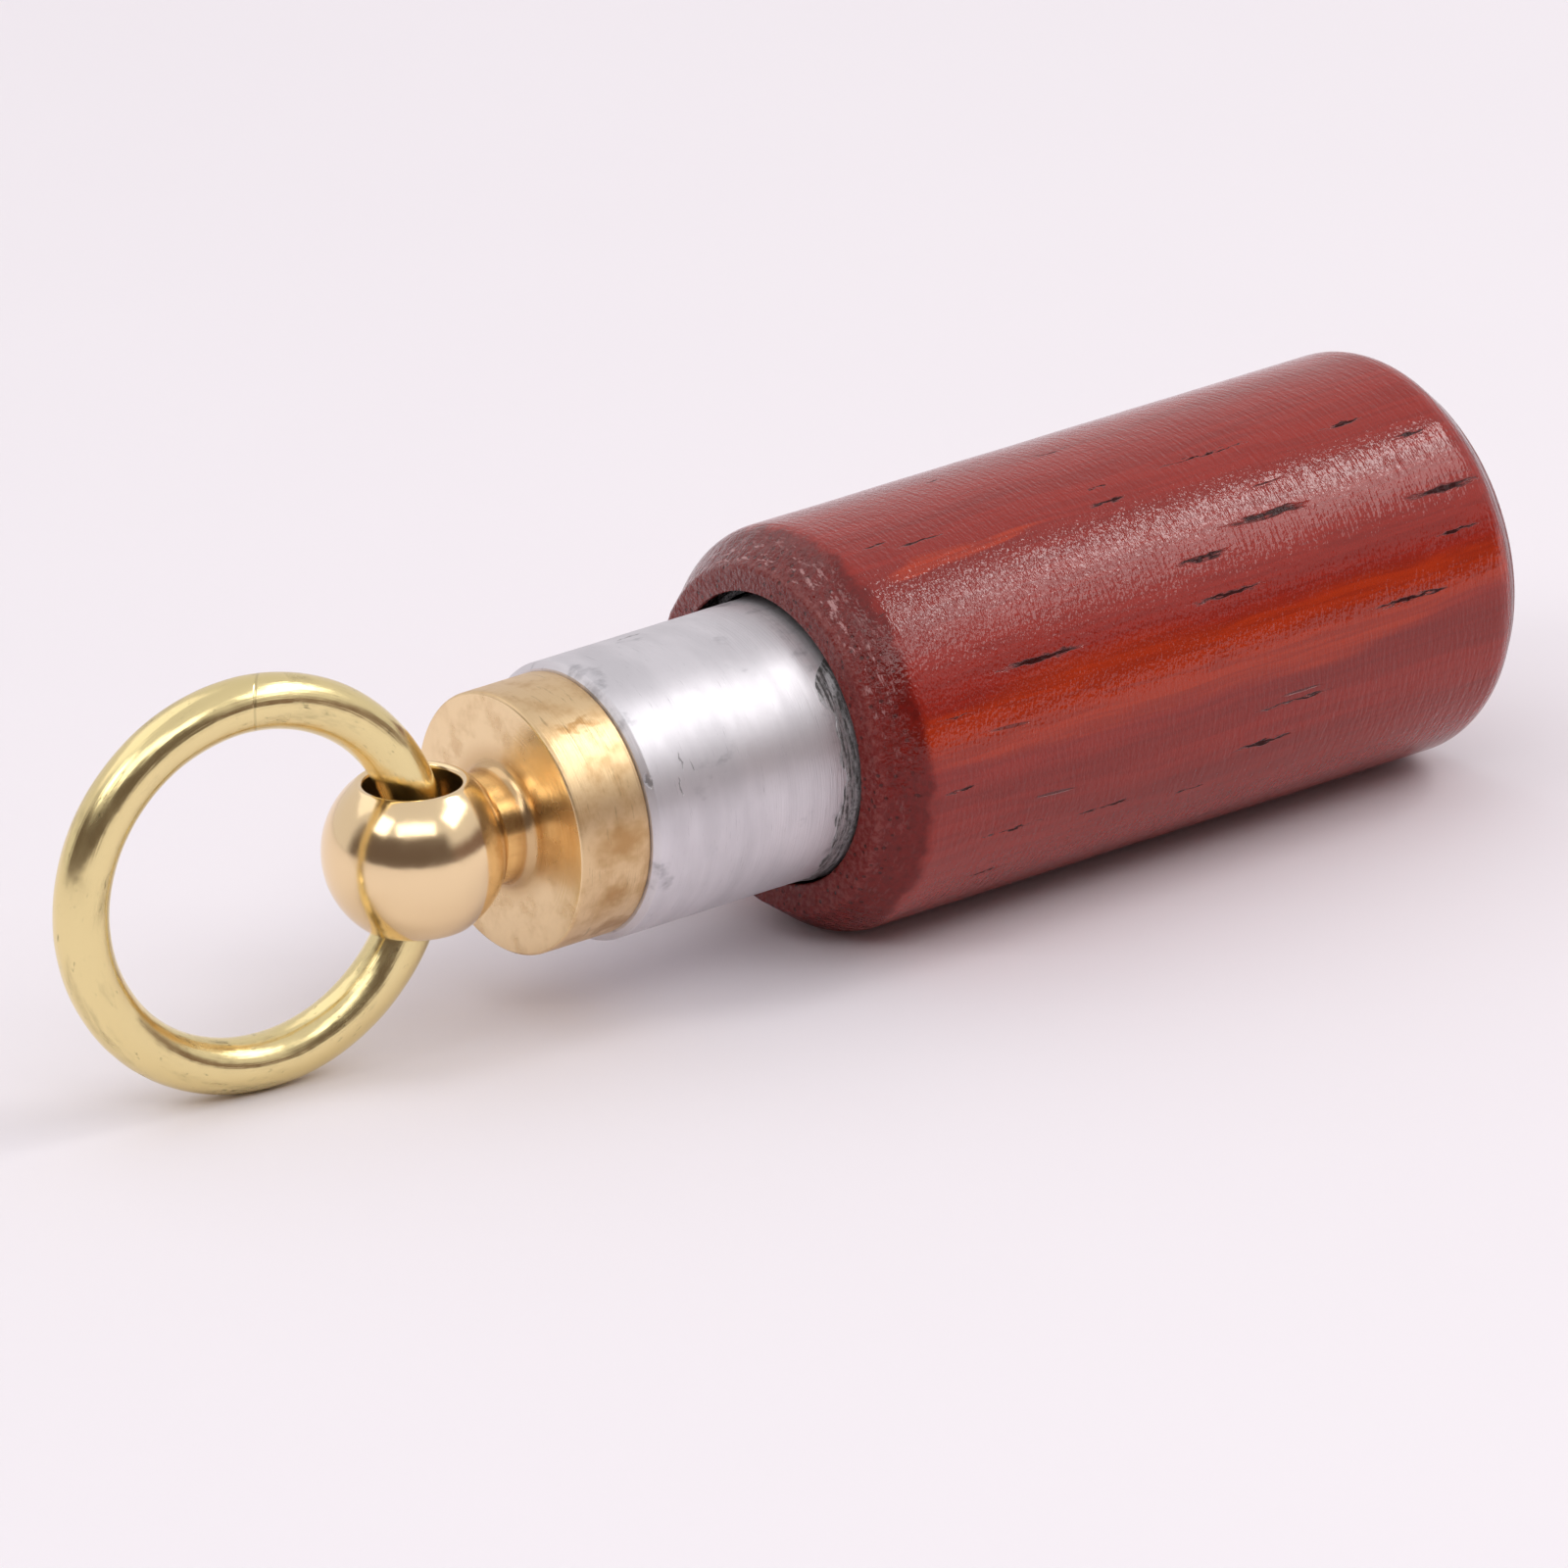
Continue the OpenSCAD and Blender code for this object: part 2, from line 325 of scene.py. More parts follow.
def take(name):
    """Names the object that was just added, puts its place in its mesh, and returns it."""
    piece = bpy.context.object
    piece.name = name
    piece.data.name = name
    bpy.ops.object.transform_apply(location=True, rotation=True, scale=True)
    return piece


def pick(piece, test):
    """Enters edit mode on the piece with only the vertices that pass the test selected."""
    work_on(piece)
    bpy.ops.object.mode_set(mode="EDIT")
    bpy.ops.mesh.select_mode(type="VERT")
    bpy.ops.mesh.select_all(action="DESELECT")
    bpy.ops.object.mode_set(mode="OBJECT")
    picked = [vertex for vertex in piece.data.vertices if test(vertex.co)]
    if not picked:
        raise RuntimeError(f"nothing of {piece.name} was found to shape")
    for vertex in picked:
        vertex.select = True
    bpy.ops.object.mode_set(mode="EDIT")


def rounded(before, corner, after, radius, steps):
    """Points of the arc that rounds one corner of an outline."""
    corner = Vector(corner)
    to_before = Vector(before) - corner
    to_after = Vector(after) - corner
    edge = min(to_before.length, to_after.length) * EDGE_SHARE
    to_before.normalize()
    to_after.normalize()
    half = to_before.angle(to_after) / 2
    radius = min(radius, edge * math.tan(half))
    centre = corner + (to_before + to_after).normalized() * radius / math.sin(half)
    first = corner + to_before * radius / math.tan(half) - centre
    last = corner + to_after * radius / math.tan(half) - centre
    start = math.atan2(first.y, first.x)
    turn = (math.atan2(last.y, last.x) - start + 3 * math.pi) % math.tau - math.pi
    turns = [start + turn * i / steps for i in range(steps + 1)]
    return [tuple(centre + radius * Vector((math.cos(a), math.sin(a)))) for a in turns]


def outline(*legs):
    """Points of a turned form from its legs, each a spacing and some points.

    A point is a distance along the axis and one from it. Lines longer than a leg's
    spacing are split evenly; with no spacing, the points stay as they are.
    """
    points = []
    for spacing, corners in legs:
        for corner in corners:
            if spacing is None:
                points.append(corner)
                continue
            begin, end = Vector(points[-1]), Vector(corner)
            parts = max(1, math.ceil((end - begin).length / spacing))
            points += [tuple(begin.lerp(end, i / parts)) for i in range(1, parts + 1)]
    return points


def turned(name, points, around, centre, along, out):
    """Turns a solid on a lathe from an outline, about the axis through a centre."""
    clear_selection()
    centre, along, out = Vector(centre), Vector(along), Vector(out)
    first = centre + along * points[0][0] + out * points[0][1]
    bpy.ops.mesh.primitive_plane_add(size=MM, location=first)
    piece = take(name)
    bpy.ops.object.mode_set(mode="EDIT")
    bpy.ops.mesh.select_mode(type="VERT")
    bpy.ops.mesh.select_all(action="SELECT")
    bpy.ops.mesh.merge(type="CENTER")
    for start, end in zip(points, points[1:]):
        step = along * (end[0] - start[0]) + out * (end[1] - start[1])
        bpy.ops.mesh.extrude_region_move(TRANSFORM_OT_translate={"value": step})
    bpy.ops.mesh.select_all(action="SELECT")
    bpy.ops.mesh.spin(steps=around, angle=math.tau, center=centre, axis=along)
    bpy.ops.mesh.select_all(action="SELECT")
    bpy.ops.mesh.remove_doubles(threshold=WELD)
    bpy.ops.mesh.normals_make_consistent(inside=False)
    bpy.ops.object.mode_set(mode="OBJECT")
    return piece


def turned_on_axis(name, points, around):
    """Turns a solid about the call's axis, from distances behind the front face and radii."""
    return turned(name, points, around, (FACE_X, 0, AXIS_Z), (1, 0, 0), (0, 0, 1))


def displace(piece, name, weigh, strength, middle, way="NORMAL", grain=None):
    """Moves each vertex by its weight, evenly or by clouds with a grain of the given size."""
    work_on(piece)
    group = piece.vertex_groups.new(name=name)
    for vertex in piece.data.vertices:
        weight = weigh(vertex.co)
        if weight > 0:
            group.add([vertex.index], weight, "REPLACE")
    move = piece.modifiers.new(name, "DISPLACE")
    if grain:
        texture = bpy.data.textures.new(name, "CLOUDS")
        texture.noise_scale = grain
        texture.noise_depth = 1
        move.texture = texture
        move.texture_coords = "LOCAL"
    move.vertex_group = name
    move.direction = way
    move.mid_level = middle
    move.strength = strength
    bpy.ops.object.modifier_apply(modifier=name)
    piece.vertex_groups.clear()


def roughen(piece, name, grain, depth, weigh):
    """Sinks the surface by a fine, fixed unevenness, which never stands proud of it."""
    displace(piece, name, weigh, depth, 1.0, grain=grain)


def fade(value, low, high):
    """0 at low, 1 at high, and an even change between them; low may be the larger number."""
    return min(1.0, max(0.0, (value - low) / (high - low)))


def off_axis(co):
    """Distance of a point from the call's axis."""
    return math.hypot(co.y, co.z - AXIS_Z)


def zone(start, end, inner, outer):
    """A weight that grows between two distances behind the front face, and between two radii."""
    return lambda co: fade(co.x, FACE_X + start, FACE_X + end) * fade(off_axis(co), inner, outer)


def smooth(piece, degrees):
    """Shades the piece smooth, and leaves its real edges sharp."""
    work_on(piece)
    bpy.ops.object.shade_smooth_by_angle(angle=math.radians(degrees))


def stand_for(piece, body, nodes, material):
    """Gives a finished piece its material, its body and slot, and hides the solids it stands for."""
    piece.data.materials.clear()
    piece.data.materials.append(material)
    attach(piece, body)
    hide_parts(*nodes)


def direction(azimuth, elevation):
    """Unit vector from the object towards an azimuth, turned from the -Y side, and an elevation."""
    flat = math.cos(elevation)
    return Vector((math.sin(azimuth) * flat, -math.cos(azimuth) * flat, math.sin(elevation)))


def add(tree, kind, *values, inputs=None, output=0, **settings):
    """Adds a node with its settings and links, and returns one of its outputs.

    The kind is a name from KINDS or a shader node's own. The values go in turn to
    the inputs that are in use, and those in inputs go by name.
    """
    kind, known = KINDS.get(kind, (kind, {}))
    node = tree.nodes.new("ShaderNode" + kind)
    for key, value in {**known, **settings}.items():
        setattr(node, key, value)
    given = list(zip([socket for socket in node.inputs if socket.enabled], values))
    given += [(node.inputs[name], value) for name, value in (inputs or {}).items()]
    for socket, value in given:
        if isinstance(value, bpy.types.NodeSocket):
            tree.links.new(value, socket)
        else:
            socket.default_value = value
    results = [socket for socket in node.outputs if socket.enabled] or [None]
    return node.outputs[output] if isinstance(output, str) else results[output]


def fill_nodes(owner, output, build, settings):
    """Has a function build the nodes of a material or a world, with add bound to its tree."""
    owner.use_nodes = True
    owner.node_tree.nodes.clear()
    node = partial(add, owner.node_tree)
    node(output, build(node, settings))


def new_material(name, build, settings):
    """A material whose nodes a function builds from some settings."""
    material = bpy.data.materials.new(name)
    fill_nodes(material, "OutputMaterial", build, settings)
    return material


def place_in_mm(node, centre=(FACE_X, 0, AXIS_Z)):
    """Object coordinates in millimetres, from the middle of the barrel's front face."""
    coords = node("TexCoord", output="Object")
    return node("Mapping", coords, tuple(-c / MM for c in centre), (0, 0, 0), (1 / MM,) * 3)


def mottle(node, place, size, detail=2.0, roughness=0.5, output=0):
    """Soft noise whose lumps have the given size in millimetres along each axis."""
    scaled = node("scale", place, tuple(1 / s for s in size))
    return node("TexNoise", output=output, inputs={
        "Vector": scaled, "Scale": 1.0, "Detail": detail, "Roughness": roughness,
    })


def jittered(node, place, size, reach):
    """The place moved about by noise with lumps of one size, within a reach in millimetres."""
    noise = mottle(node, place, size, output="Color")
    return node("scale_shift", node("shift", noise, (-0.5, -0.5, -0.5)), reach, place)


def vessels(node, place, size, share):
    """Slots where the surface cuts through vessels: ellipsoids that fill a share of each cell."""
    scaled = node("scale", place, tuple(1 / s for s in size))
    cells = node("TexVoronoi", inputs={"Vector": scaled, "Scale": 1.0})
    return node("step", cells, share * VESSEL_CORE, share, 1.0, 0.0)


def nearest_mark(node, place, side, marks):
    """Distance to the nearest of a table's marks on a round side, as a share of the mark's size."""
    radius = side / MM
    nearest = FAR
    for behind, turn, half_length, half_width, rise in marks:
        turn = math.radians(turn)
        lean = math.radians(rise) * radius / (2 * half_length)
        inside = node(
            "Mapping", place,
            (behind, -math.cos(turn) * radius, math.sin(turn) * radius),
            (-turn, math.sin(turn) * -lean, math.cos(turn) * -lean),
            (half_length, half_width * MARK_DEPTH, half_width),
            vector_type="TEXTURE",
        )
        nearest = node("smaller", node("length", inside), nearest)
    return nearest


def distance_from_axis(node, place):
    """Distance in millimetres from the call's axis."""
    return node("length", node("scale", place, (0.0, 1.0, 1.0)))


def summed(node, *terms):
    """Sum of the terms, each a value and its weight."""
    (value, weight), *others = terms
    total = node("times", value, weight)
    for value, weight in others:
        total = node("times_plus", value, weight, total)
    return total


def layered(node, base, *coats):
    """A colour under coats, each the share that it covers and its colour."""
    for share, coat in coats:
        base = node("blend", share, base, coat)
    return base


def lacquered_hardwood(node, s):
    """Red-stained open-grain hardwood under a brushed gloss lacquer.

    The stain is see-through, so the grain shows as bands of orange and dark red,
    and it gathers in the vessels, which read as dark slots along the barrel. The
    lacquer is glossy, but it keeps the fine ridges of the turning, which break its
    highlight into short strokes round the barrel. The cut ends are dark and torn.
    """
    place = place_in_mm(node)
    x = node("SeparateXYZ", place)
    upper = node("step", node("SeparateXYZ", place, output=2), 0.0, 6.5)

    # The grain wanders by about half a millimetre over the length of the barrel
    grain = jittered(node, place, (16, 6, 6), (0.0, 1.6, 1.6))

    # Growth layers of 3 mm, and fibres of 0.2 mm that run for about a centimetre
    layers = mottle(node, grain, (45, 3.2, 3.2), 3.0)
    fibres = mottle(node, grain, (11, 0.24, 0.24))
    streaks = jittered(node, grain, (9, 1.6, 1.6), (8.0, 2.4, 2.4))
    paler = nearest_mark(node, streaks, BARREL_R, LIGHT_GRAIN)

    # Vessels of 0.1 mm, too few to show as more than a faint line here and there
    faint = node("times", vessels(node, grain, (24, 1.5, 1.5), 0.07), 0.6)

    # The strong pores, each an ellipsoid with a ragged edge
    ragged = jittered(node, place, (0.8, 0.16, 0.16), (2.4, 0.5, 0.5))
    pore = nearest_mark(node, ragged, BARREL_R, DEEP_PORES)
    deep = node("step", pore, 0.45, 1.0, 1.0, 0.0)

    # The flat faces and sloping edges are cut across the fibres: darker, torn and pitted
    front = s.front_slope / MM
    back = BARREL_L / MM
    rear = back - s.rear_slope / MM
    front_face = node("step", x, 0.15, 0.5, 1.0, 0.0)
    face = node("larger", front_face, node("step", x, back - 0.5, back - 0.15))
    wavy = node("times_plus", mottle(node, place, (2.0, 1.2, 1.2)), 1.4, x)
    front_cut = node("step", wavy, front + 0.5, front + 1.0, 1.0, 0.0)
    cut = node("larger", front_cut, node("step", x, rear, rear + 0.5))
    rim = node("larger", node("step", wavy, 1.5, 2.7, 1.0, 0.0), face)
    crumb = mottle(node, place, (0.30, 0.30, 0.30), 3.0, 0.65)
    pits = node("times", vessels(node, place, (0.6, 0.5, 0.5), 0.24), rim)
    slots = node("larger", node("larger", faint, node("times", pits, 0.7)), deep)

    # Painted highlight: pale flecks of 0.2 by 0.7 mm on the front edge, mostly on top, that stand for
    # glints of light on the torn lacquer
    glint_flecks = node("step", mottle(node, place, (0.24, 0.8, 0.8), 3.0, 0.7), 0.54, 0.65)
    glint_flecks = node("times", glint_flecks, node("times_plus", upper, 0.75, 0.1))
    past_face = node("step", x, 0.1, 0.5, 0.0, rim)
    edge = node("times", past_face, node("step", x, 3.0, 4.0, 1.0, 0.0))
    painted_glint_flecks = node("times", glint_flecks, edge)

    # Painted shade: the wall of the bore is coloured near black for the shade inside it
    bore = (BARREL_R - s.wall + s.mouth_growth + s.mouth_lift) / MM
    bottom = BORE_DEPTH / MM + 1
    bore_shade_radius = node("step", distance_from_axis(node, place), bore + 0.02, bore + 0.12, 1.0, 0.0)
    inside = node("times", bore_shade_radius, node("step", x, 0.1, 0.3))
    inside = node("times", inside, node("step", x, bottom, bottom + 1, 1.0, 0.0))

    base = layered(
        node, s.dark,
        (node("step", layers, 0.34, 0.54, 0.5, 1.0), s.red),
        (node("step", paler, 0.7, 1.25, 1.0, 0.0), s.orange),
        (node("step", fibres, 0.35, 0.62, 0.35, 0.0), s.dark),
        (
            node("times", cut, 0.9),
            layered(node, s.cut, (node("step", crumb, 0.36, 0.62, 0.35, 0.0), s.pore)),
        ),
        (face, layered(node, s.cut, (node("step", crumb, 0.40, 0.66, 0.0, 0.8), s.end_grain))),
        (slots, s.pore),
        (painted_glint_flecks, s.painted_glint),
        (inside, s.painted_bore_shade),
    )

    # Heights in millimetres: ridges of the turning, 0.2 mm apart, that run round the
    # barrel in short strokes, and the grain of the lacquer, coarser towards the front
    height = summed(
        node,
        (mottle(node, place, (2.4, 3.0, 3.0), 1.0), 0.03),
        (mottle(node, place, (0.22, 1.1, 1.1), 1.0), 0.048),
        (mottle(node, place, (0.13, 0.22, 0.22), 1.0), node("step", x, 6.0, 32.0, 0.042, 0.020)),
        (mottle(node, place, (0.5, 0.35, 0.35), 3.0, 0.6), node("times", rim, 0.17)),
        (pits, -0.06),
        (node("larger", faint, deep), -0.12),
    )
    dull = node("times", cut, node("times_plus", upper, -0.35, 0.35))
    bare = node("larger", dull, node("step", pore, 0.35, 0.75, 0.75, 0.0))
    return node("BsdfPrincipled", inputs={
        "Base Color": base,
        "Roughness": 0.6,
        "Specular IOR Level": 0.0,
        "Normal": node("Bump", inputs={"Strength": 0.4, "Distance": MM, "Height": height}),
        "Coat Weight": node("minus", 1.0, bare),
        "Coat Roughness": 0.10,
        "Coat IOR": 1.5,
        "Coat Normal": node("Bump", inputs={"Distance": MM, "Height": height}),
    })


def turned_aluminium(node, s):
    """Turned aluminium, left satin and scuffed by handling.

    The tool leaves fine lines round the bar, which draw its highlight out along
    the axis, and rubbing adds dull grey patches, short scratches and a few nicks.
    Beside the mouth of the bore, more of these grey patches are painted shade.
    """
    place = place_in_mm(node)
    x = node("SeparateXYZ", place)

    # Tool lines 0.1 mm apart, drawn a little coarser than the real 0.05 mm
    lines = mottle(node, place, (0.10, 8, 8))
    broad = mottle(node, place, (1.8, 5, 5), 3.0)
    patches = mottle(node, place, (2.6, 1.8, 1.8), 4.0, 0.6)
    scratches = mottle(node, place, (0.08, 1.2, 1.2), 3.0, 0.7)
    ragged = jittered(node, place, (0.3, 0.3, 0.3), (0.3, 0.5, 0.5))
    nicks = node("step", nearest_mark(node, ragged, PLUG_R, PLUG_NICKS), 0.5, 1.1, 1.0, 0.0)

    # Scuffs lie at random and gather just behind the collar; beside the mouth of the bore, painted shade
    # darkens the metal with the same grey patches
    front = -PLUG_SHOWN / MM
    painted_mouth_shade = node("step", x, -1.7, -0.8, 0.0, 0.13)
    shade_and_collar_scuffs = node("larger", painted_mouth_shade, node("step", x, front + 0.4, front + 2.2, 0.08, 0.0))
    scuffs_and_shade = node("step", node("plus", patches, shade_and_collar_scuffs), 0.62, 0.84, 0.0, 0.55)
    worn_and_shaded = node("larger", scuffs_and_shade, node("step", scratches, 0.62, 0.78, 0.0, 0.35))

    # The lines spread the shine more along the axis than round the bar
    height = summed(node, (scratches, 0.012), (lines, 0.014), (nicks, -0.03))
    return node("BsdfPrincipled", inputs={
        "Base Color": layered(
            node, s.metal,
            (worn_and_shaded, s.scuffed),
            (node("step", broad, 0.3, 0.7, 0.0, 0.16), s.scuffed),
            (node("times", nicks, 0.45), s.film),
        ),
        "Metallic": 1.0,
        "Roughness": node("times_plus", worn_and_shaded, 0.10, node("step", broad, 0.3, 0.7, 0.48, 0.54)),
        "Anisotropic": 0.5,
        "Anisotropic Rotation": 0.25,
        "Tangent": node("Tangent", direction_type="RADIAL", axis="X"),
        "Normal": node("Bump", inputs={"Distance": MM, "Height": height}),
    })


def dirty_rosin(node, s):
    """Rosin squeezed out at the mouth of the bore, dark with metal dust.

    It is dull and crumbly, and turning smears bright streaks of metal through it.
    """
    place = place_in_mm(node)
    smears = mottle(node, place, (0.16, 1.3, 1.3), 3.0, 0.65)
    crumbs = mottle(node, place, (0.18, 0.22, 0.22), 3.0, 0.7)
    shine = node("step", summed(node, (crumbs, 0.3), (smears, 0.7)), 0.40, 0.60)
    return node("BsdfPrincipled", inputs={
        "Base Color": node("blend", shine, s.film, s.dust),
        "Metallic": node("times", shine, 0.9),
        "Roughness": node("step", crumbs, 0.3, 0.7, 0.36, 0.55),
        "Normal": node("Bump", inputs={"Distance": 0.03 * MM, "Height": crumbs}),
    })


def packed_rosin(node, s):
    """Rosin powder pressed hard: amber grains of 0.25 mm with a waxy dullness."""
    place = place_in_mm(node)
    grains = node("TexVoronoi", inputs={"Vector": place, "Scale": 4.0})
    cloud = mottle(node, place, (1.5, 1.5, 1.5), 3.0)
    return node("BsdfPrincipled", inputs={
        "Base Color": layered(
            node, s.charge,
            (node("step", cloud, 0.35, 0.65, 0.1, 0.6), s.charge_cloud),
            (node("step", grains, 0.3, 0.8, 0.0, 0.5), s.charge_gap),
        ),
        "Roughness": 0.55,
        "IOR": 1.54,
        "Normal": node("Bump", inputs={"Strength": 0.7, "Distance": 0.05 * MM, "Height": grains}),
    })


def turned_brass(node, s):
    """Brass turned from the bar, its ball polished to a mirror.

    The collar keeps the tool's lines round it and a brushed front, with amber
    stain near the neck, so it is satin where the ball is glossy.
    """
    place = place_in_mm(node)
    x = node("SeparateXYZ", place)
    radius = distance_from_axis(node, place)
    front = -(PLUG_SHOWN + s.collar) / MM
    neck = s.neck_r / MM
    collar = COLLAR_R / MM
    ball = node("step", x, front - 0.9, front - 0.5, 1.0, 0.0)
    side = node("step", radius, collar - 0.12, collar - 0.02)

    # Tool lines: circles on the collar's front, rings round its side, 0.1 mm apart
    outward = node("CombineXYZ", radius, 0.0, 0.0)
    circles = mottle(node, node("scale_shift", place, (0.0, 0.006, 0.006), outward), (0.09, 1, 1))
    rings = mottle(node, place, (0.09, 7, 7))
    lines = node("SeparateXYZ", node("blend", side, circles, rings))
    marks = mottle(node, place, (0.25, 1.6, 1.6), 4.0, 0.65)
    stain = mottle(node, place, (1.4, 1.5, 1.5), 4.0, 0.6)

    # Amber stain in the corner of the neck, in patches on the collar's side, and in scuffs
    corner = node("step", radius, neck + 0.2, neck + 1.6, 0.5, 0.0)
    corner = node("times", corner, node("step", x, front - 1.2, front - 0.5))
    ragged = jittered(node, place, (0.9, 0.7, 0.7), (2.0, 2.0, 2.0))
    patch = node("step", nearest_mark(node, ragged, COLLAR_R, COLLAR_STAINS), 0.2, 1.5, 0.55, 0.0)
    patch = node("times", patch, side)
    amber = node("step", stain, 0.42, 0.74, 0.0, 0.35)
    amber = node("larger", patch, node("times", amber, node("minus", 1.0, ball)))
    amber = node("larger", node("times_plus", side, 0.26, amber), corner)
    scuffs = node("times", node("step", marks, 0.58, 0.72, 0.0, 0.4), side)
    satin = node("times_plus", side, 0.15, node("step", stain, 0.4, 0.7, 0.22, 0.29))
    polished = node("step", stain, 0.4, 0.7, 0.15, 0.20)
    height = summed(
        node,
        (lines, node("step", ball, 0.0, 1.0, 0.02, 0.0004)),
        (mottle(node, place, (1.2, 1.2, 1.2)), 0.01),
    )
    return node("BsdfPrincipled", inputs={
        "Base Color": layered(node, s.brass, (amber, s.stained), (scuffs, s.scuffed)),
        "Metallic": 1.0,
        "Roughness": node("Mix", ball, satin, polished),
        "Normal": node("Bump", inputs={"Distance": MM, "Height": height}),
    })


def drawn_brass_wire(node, s):
    """Brass wire, drawn and bent into a ring and then handled for years.

    Drawing leaves long fine lines and a satin shine, and tarnish sits in thin
    grey-green patches. The butt joint is closed and filed, and shows as a line.
    """
    uv = node("TexCoord", output="UV")
    wire = s.wire_r / MM
    run = node("times", node("SeparateXYZ", uv), math.tau * (RING_R - s.wire_r) / MM)
    turn = node("times", node("SeparateXYZ", uv, output=1), math.tau)
    across = node("times", node("cosine", turn), wire)
    upward = node("times", node("sine", turn), wire)
    place = node("CombineXYZ", run, across, upward)

    # Drawing lines 0.1 mm apart that run on for 5 mm along the wire
    lines = mottle(node, place, (5, 0.12, 0.12))
    dents = mottle(node, place, (1.6, 0.9, 0.9))
    tarnish = mottle(node, place, (4.5, 1.2, 1.2), 4.0, 0.65)
    specks = mottle(node, place, (0.6, 0.25, 0.25), 4.0, 0.7)
    dull = node("step", tarnish, 0.52, 0.75)
    dirt = node("step", node("times_plus", dull, 0.10, specks), 0.62, 0.76, 0.0, 0.75)

    # The joint's line slants across the wire at the seam of the wire's own map
    slant = node("times_plus", node("sine", turn), -0.8, 1.2)
    gap = node("absolute", node("minus", run, slant))
    joint = node("step", gap, 0.03, 0.10, 1.0, 0.0)
    height = summed(node, (dents, 0.03), (lines, 0.008), (joint, -0.008))
    return node("BsdfPrincipled", inputs={
        "Base Color": layered(
            node, s.brass,
            (node("times", dull, 0.35), s.tarnish),
            (dirt, s.tarnish),
            (node("times", joint, 0.25), s.tarnish),
        ),
        "Metallic": 1.0,
        "Roughness": node("times_plus", dull, 0.10, node("step", dents, 0.3, 0.7, 0.17, 0.24)),
        "Normal": node("Bump", inputs={"Distance": MM, "Height": height}),
    })


def matt_floor(node, s):
    """Matt card: even, with a faint mottle that only keeps it from looking empty."""
    cloud = mottle(node, place_in_mm(node, (0, 0, 0)), (30, 30, 30))
    tone = layered(node, s.floor, (node("step", cloud, 0.3, 0.7, 0.0, 0.02), s.floor_cloud))
    return node("BsdfPrincipled", inputs={"Base Color": tone, "Roughness": 0.9})


def studio_room(node, s):
    """A room that is bright above, dark low down on the camera's left and brown on its right."""
    way = node("TexCoord", output="Generated")
    up = node("SeparateXYZ", way, output=2)
    left = node("dot", way, direction(DARK_SIDE, 0))
    right = node("dot", way, direction(BROWN_SIDE, 0))
    low = node("step", up, 0.22, 0.36, 1.0, 0.0)
    room = layered(
        node, s.wall,
        (node("times", node("step", right, 0.78, 0.90), low), s.table_edge),
        (node("step", left, 0.22, 0.46), s.dark_room),
        (node("step", up, 0.54, 0.64), s.ceiling),
    )
    seen = node("LightPath", output="Is Camera Ray")
    return node("Background", node("blend", seen, room, s.backdrop), 1.0)


def hang_soft_boxes(scene, s):
    """Hangs soft boxes on the left, over the camera and on the right, and a larger one behind."""
    for name, azimuth, elevation, watts, width, height in SOFT_BOXES:
        way = direction(math.radians(azimuth), math.radians(elevation))
        data = bpy.data.lights.new(name, "AREA")
        data.shape = "RECTANGLE"
        data.size = width
        data.size_y = height
        data.energy = watts * s.box_power
        lamp = bpy.data.objects.new(name, data)
        facing = way.to_track_quat("Z", "Y").to_matrix().to_4x4()
        lamp.matrix_world = Matrix.Translation(way * s.box_distance) @ facing
        scene.collection.objects.link(lamp)


def aim_camera(scene, s):
    """Puts the camera where the photograph was taken."""
    back = direction(s.azimuth, s.elevation)
    right = Vector((math.cos(s.azimuth), math.sin(s.azimuth), 0))
    up = back.cross(right)
    rolled_right = right * math.cos(s.roll) + up * math.sin(s.roll)
    rolled_up = up * math.cos(s.roll) - right * math.sin(s.roll)
    data = bpy.data.cameras.new("camera")
    data.sensor_width = SENSOR
    data.lens = s.lens
    camera = bpy.data.objects.new("camera", data)
    turn = Matrix((rolled_right, rolled_up, back)).transposed()
    camera.matrix_world = Matrix.Translation(Vector(s.aim) + back * s.distance) @ turn.to_4x4()
    scene.collection.objects.link(camera)
    scene.camera = camera


